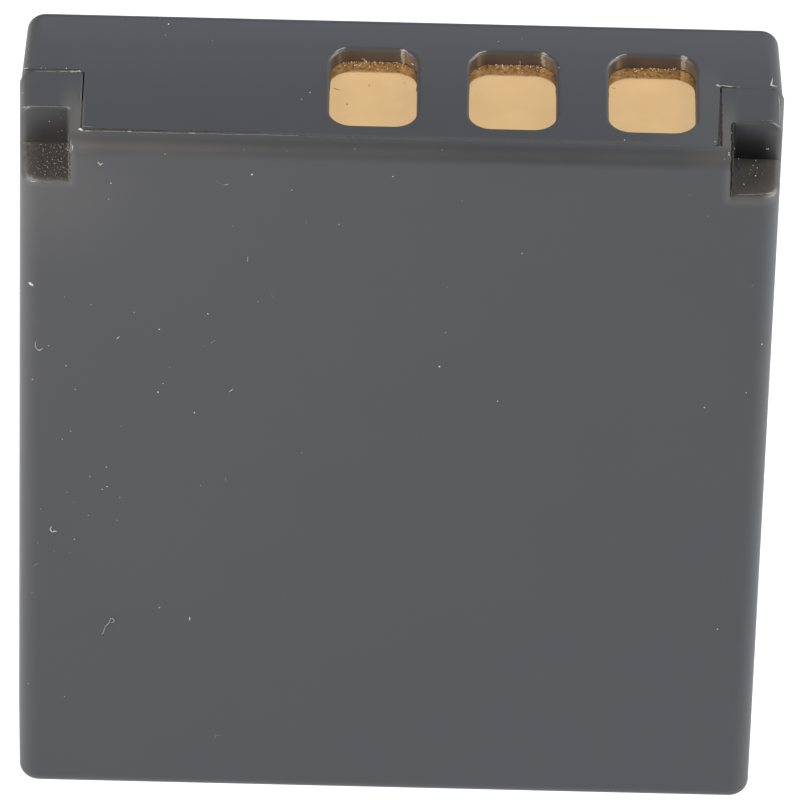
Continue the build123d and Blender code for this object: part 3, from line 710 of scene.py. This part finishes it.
def moulded_plastic():
    """Shell plastic with dust on the notch floors, painted shade on the notch rear walls, on the right
    notch's inner edge and in the windows' left corners, painted warm light from the gold on the window
    walls, and a pale tint that is partly rubbed wear and partly painted highlight.
    """
    made, g, shader, place = material("moulded_plastic")
    broad = g.noise(place, PLASTIC_MOTTLE)
    patchy = g.noise(place, DUST_MOTTLE)
    fine = g.noise(place, PLASTIC_GRAIN, FEW_OCTAVES)
    spot = coordinates(g, place)
    side = g.spread(spot[0], *SIDE_FADE)
    inside, wall, floor, edge = notch_places(g, spot)
    walls, corner = window_places(g, spot)
    # Pale tint: partly rubbed wear, partly painted highlight
    pale = g.largest(pale_top(g, spot), pale_front(g, spot, place))
    dust = g.mix(inside, g.mix(side, *DUST_COLOURS), DEEP_DUST_COLOUR)
    colour = g.mix(g.spread(broad, *MOTTLE_RANGE, 0.0, 1.0), *PLASTIC_COLOURS)
    colour = g.mix(pale, colour, PALE_WEAR_AND_HIGHLIGHT_COLOUR)
    # Painted shade on the notches' rear walls
    colour = g.mix(wall, colour, g.mix(side, *WALL_SHADE_COLOURS))
    colour = g.mix(g.product(floor, g.spread(patchy, *DUST_FADE)), colour, dust)
    # Painted shade on the right notch's inner edge
    colour = g.mix(edge, colour, EDGE_SHADE_COLOUR)
    # Painted warm light from the gold on the windows' walls
    colour = g.mix(walls, colour, WINDOW_BOUNCE_COLOUR)
    # Painted shade in the windows' left corners
    colour = g.mix(corner, colour, CORNER_SHADE_COLOUR)
    roughness = g.largest(
        g.spread(broad, *MOTTLE_RANGE, *PLASTIC_ROUGHNESS),
        g.product(edge, EDGE_ROUGHNESS), g.product(corner, CORNER_ROUGHNESS),
    )
    finish(g, shader, colour, roughness, fine, PLASTIC_RELIEF)
    return made


def plated_gold():
    """Gold plating with a mottled band at the foot of the windows' rear walls, partly stain and partly a
    painted reflection of those walls.
    """
    made, g, shader, place = material("plated_gold")
    broad = g.noise(place, GOLD_MOTTLE)
    fine = g.noise(place, GOLD_GRAIN, FEW_OCTAVES)
    blotch = g.noise(place, REAR_BAND_MOTTLE, MANY_OCTAVES)
    y = g.add("ShaderNodeSeparateXYZ", {0: place}).outputs["Y"]
    rear = window_limits("contact_sense")[2]
    far, close = REAR_BAND_REACH
    near = g.spread(y, rear - far, rear - close, 0.0, 1.0)
    # Band at the rear of each contact: partly stain, partly painted reflection of the rear wall
    stain = g.product(near, g.spread(blotch, *REAR_BAND_FADE))
    colour = g.mix(g.spread(broad, *MOTTLE_RANGE, 0.0, 1.0), *GOLD_COLOURS)
    colour = g.mix(stain, colour, STAIN_AND_REFLECTION_COLOUR)
    g.tree.links.new(g.spread(near, 0.0, 1.0, *GOLD_METALLIC), shader.inputs["Metallic"])
    finish(g, shader, colour, g.spread(fine, *MOTTLE_RANGE, *GOLD_ROUGHNESS))
    return made


def mottled(name, dark, light, smooth, rough, size, metallic=0.0, specular=0.5):
    """Plain finish: two close colours and a roughness that follow one mottle."""
    made, g, shader, place = material(name)
    mottle = g.spread(g.noise(place, size), *MOTTLE_RANGE, 0.0, 1.0)
    finish(
        g, shader, g.mix(mottle, dark, light), g.spread(mottle, 0.0, 1.0, smooth, rough),
        Metallic=metallic, Specular_IOR_Level=specular,
    )
    return made


def dress_nodes():
    """Give every node the finish of its material slot."""
    finishes = {"shell_plastic": moulded_plastic(), "contact_gold": plated_gold()}
    for slot, values in NODE_FINISHES.items():
        finishes[slot] = mottled(*values)
    for part in frame["record"]["subparts"]:
        mesh = nodes[part["node"]].data
        mesh.materials.clear()
        mesh.materials.append(finishes[part["material_slot"]])


def add_floor():
    floor_material, g, shader, place = material("floor")
    mottle = g.noise(place, FLOOR_GRAIN)
    finish(
        g, shader,
        g.mix(mottle, (FLOOR_ALBEDO - FLOOR_MOTTLE,) * 3, (FLOOR_ALBEDO + FLOOR_MOTTLE,) * 3),
        g.spread(mottle, 0.0, 1.0, *FLOOR_ROUGHNESS),
        Emission_Color=(*FLOOR_COLOUR, 1), Emission_Strength=FLOOR_GLOW, Specular_IOR_Level=0.0,
    )
    half = FLOOR_SIZE / 2
    mesh = bpy.data.meshes.new("floor")
    corners = [(-half, -half, 0), (half, -half, 0), (half, half, 0), (-half, half, 0)]
    mesh.from_pydata(corners, [], [(0, 1, 2, 3)])
    mesh.materials.append(floor_material)
    floor = bpy.data.objects.new("floor", mesh)
    bpy.context.collection.objects.link(floor)


def outer_surface():
    """The surfaces that show, as one tree to find the point under a pixel."""
    points = []
    faces = []
    for name in ("front_shell", "rear_shell", *CONTACTS):
        start = len(points)
        points += [vertex.co for vertex in nodes[name].data.vertices]
        faces += [[start + index for index in face.vertices] for face in nodes[name].data.polygons]
    return BVHTree.FromPolygons(points, faces)


surface = outer_surface()


def find(pixel, level=None):
    """Point and normal of the surface under a pixel, or of a level plane where one is given."""
    right, up, back = camera_axes()
    scale = SENSOR / LENS / PHOTO_SIZE
    across = (pixel[0] - PHOTO_SIZE / 2) * scale
    down = (pixel[1] - PHOTO_SIZE / 2) * scale
    start = VIEW_TARGET + back * VIEW_DISTANCE
    aim = (right * across - up * down - back).normalized()
    if level is None:
        point, normal, _, _ = surface.ray_cast(start, aim)
        return point, normal
    return start + aim * ((level - start.z) / aim.z), UP


def trace(line, level=None):
    """Surface points along a line of pixels."""
    spots = []
    for start, end in zip(line, line[1:]):
        start = Vector(start)
        end = Vector(end)
        count = max(2, round((end - start).length / TRACE_STEP))
        spots += [find(start.lerp(end, i / count), level) for i in range(count)]
    return spots + [find(line[-1], level)]


def ridge(bm, spots, width, height, draw):
    """Ragged closed ridge along surface points, with width and height in pixels and thin ends."""
    rings = []
    last = len(spots) - 1
    growth = max(SHORT_RIDGE_GROWTH / last, RIDGE_GROWTH)
    for i, (point, normal) in enumerate(spots):
        ahead = spots[min(i + 1, last)][0] - spots[max(i - 1, 0)][0]
        side = ahead.cross(normal).normalized()
        taper = min(1, RIDGE_TIP + growth * min(i, last - i))
        half = width * PIXEL / 2 * taper * draw.uniform(*RIDGE_HALVES)
        crest = height * PIXEL * taper * draw.uniform(*RIDGE_CRESTS)
        middle = point + side * width * PIXEL * draw.uniform(*RIDGE_DRIFT)
        ring = [middle + side * half * a + normal * crest * b for a, b in RIDGE_SECTION]
        rings.append([bm.verts.new(corner) for corner in ring])
    count = len(RIDGE_SECTION)
    for one, two in zip(rings, rings[1:]):
        for k in range(count):
            bm.faces.new((one[k], one[(k + 1) % count], two[(k + 1) % count], two[k]))
    bm.faces.new(rings[0])
    bm.faces.new(rings[-1])


def grain(bm, spot, width, draw, longest=GRAIN_LENGTHS[1]):
    """Irregular grain that sits on a surface, with its width in pixels."""
    point, normal = spot
    made = bmesh.ops.create_icosphere(bm, subdivisions=2, radius=width * PIXEL / 2)
    stretch = Vector((
        draw.uniform(GRAIN_LENGTHS[0], longest),
        draw.uniform(*GRAIN_BREADTHS),
        draw.uniform(*GRAIN_HEIGHTS),
    ))
    for vertex in made["verts"]:
        vertex.co = vertex.co * stretch * draw.uniform(*GRAIN_LUMPS)
    spin = Matrix.Rotation(draw.uniform(0, 2 * pi), 4, "Z")
    turn = normal.to_track_quat("Z", "Y").to_matrix().to_4x4() @ spin
    place = Matrix.Translation(point + normal * width * PIXEL * GRAIN_SEAT) @ turn
    bmesh.ops.transform(bm, matrix=place, verts=made["verts"])


def add_piece(name, bm, made):
    """Turn a finished mesh into a piece that rides on the part."""
    bmesh.ops.recalc_face_normals(bm, faces=bm.faces)
    mesh = bpy.data.meshes.new(name)
    bm.to_mesh(mesh)
    bm.free()
    mesh.materials.append(made)
    piece = bpy.data.objects.new(name, mesh)
    bpy.context.collection.objects.link(piece)
    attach(piece, "root")


def add_marks(name, made, lines=(), grains=()):
    """One piece with all its ridges and grains."""
    draw = Random(name)
    bm = bmesh.new()
    for line, width, height, *level in lines:
        ridge(bm, trace(line, *level), width, height, draw)
    for x, y, width in grains:
        grain(bm, find((x, y)), width, draw)
    add_piece(name, bm, made)


def add_grit(made):
    """Grains strewn over the floors of the notches, with more to the right, and most of them small."""
    draw = Random("notch_grit")
    bm = bmesh.new()
    thin, thick = GRIT_WIDTHS
    for low, high, count in NOTCH_GRIT:
        for _ in range(count):
            x = low[0] + (high[0] - low[0]) * draw.random() ** GRIT_LEAN
            y = draw.uniform(low[1], high[1])
            grain(bm, find((x, y)), thin + (thick - thin) * draw.random() ** GRIT_FINENESS, draw)
    add_piece("notch_grit", bm, made)


def add_burrs(made):
    """Uneven burrs along the inner edge of the left notch."""
    draw = Random("notch_burrs")
    bm = bmesh.new()
    top, bottom = (Vector(end) for end in BURR_EDGE)
    for _ in range(BURR_COUNT):
        grain(bm, find(top.lerp(bottom, draw.random())), draw.uniform(*BURR_WIDTHS), draw, BURR_LONGEST)
    add_piece("notch_burrs", bm, made)


def window_limits(name):
    """Left, right and rear limits of a contact's window and the level of the contact."""
    low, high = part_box(name)
    return low[0] + CONTACT_LAP, high[0] - CONTACT_LAP, high[1] - CONTACT_LAP, high[2]


def window_foot(name):
    """Points on a contact along the foot of its window's rear wall and round the two corners."""
    left, right, rear, level = window_limits(name)
    centre_y = rear - WINDOW_RADIUS
    points = [(left, rear - FOOT_REACH)]
    for centre_x, first in ((left + WINDOW_RADIUS, pi), (right - WINDOW_RADIUS, pi / 2)):
        for i in range(FOOT_STEPS + 1):
            turn = first - pi / 2 * i / FOOT_STEPS
            points.append((centre_x + WINDOW_RADIUS * cos(turn), centre_y + WINDOW_RADIUS * sin(turn)))
    points.append((right, rear - FOOT_REACH))
    spots = []
    for start, end in zip(points, points[1:]):
        start = Vector((*start, level))
        end = Vector((*end, level))
        count = max(1, round((end - start).length / (TRACE_STEP * PIXEL)))
        spots += [(start.lerp(end, i / count), UP) for i in range(count)]
    return spots


def add_window_foot_shade(made):
    """Dark line of painted shade where each window's wall meets its contact."""
    draw = Random("window_grime")
    bm = bmesh.new()
    for name in CONTACTS:
        ridge(bm, window_foot(name), *FOOT_LINE, draw)
    add_piece("window_grime", bm, made)


def add_shavings(made):
    """Shavings on the contacts, most of them at the foot of each window's rear wall."""
    draw = Random("window_shavings")
    bm = bmesh.new()
    thin, thick = DEBRIS_WIDTHS
    for name in CONTACTS:
        left, right, rear, level = window_limits(name)
        for _ in range(DEBRIS_COUNT):
            x = draw.uniform(left + WINDOW_RADIUS / 2, right - WINDOW_RADIUS / 2)
            y = rear - DEBRIS_GAP - DEBRIS_REACH * draw.random() ** DEBRIS_LEAN
            width = thin + (thick - thin) * draw.random() ** DEBRIS_FINENESS
            grain(bm, (Vector((x, y, level)), UP), width, draw, DEBRIS_LONGEST)
    for line, width, height in WINDOW_SLIVERS:
        ridge(bm, trace(line), width, height, draw)
    add_piece("window_shavings", bm, made)


def at_windows(line, widths, height):
    """The same line at each window, with a width for each."""
    lines = []
    for (x, y), width in zip(WINDOW_MIDDLES, widths):
        lines.append((tuple((x + dx, y + dy) for dx, dy in line), width, height))
    return lines


def add_wear():
    """Wear and dirt that the part carries, with painted shade and painted highlights among them."""
    finishes = {name: mottled(name, *values) for name, values in WEAR_FINISHES.items()}
    for name, (made, lines, grains) in SHELL_MARKS.items():
        add_marks(name, finishes[made], lines, grains)
    add_burrs(finishes["rubbed_plastic_and_highlight"])
    add_grit(finishes["grit"])
    add_shavings(finishes["shavings"])
    for name, (made, line, widths, height) in WINDOW_MARKS.items():
        add_marks(name, finishes[made], at_windows(line, widths, height))
    # window_grime: painted shade where each window's wall meets its contact
    add_window_foot_shade(finishes["dark_crease_shade"])
    add_marks("contact_specks", finishes["tarnish"], CONTACT_SCRATCHES, CONTACT_SPECKS)


add_camera()
add_world()
add_lamps()
add_floor()
dress_nodes()
add_wear()
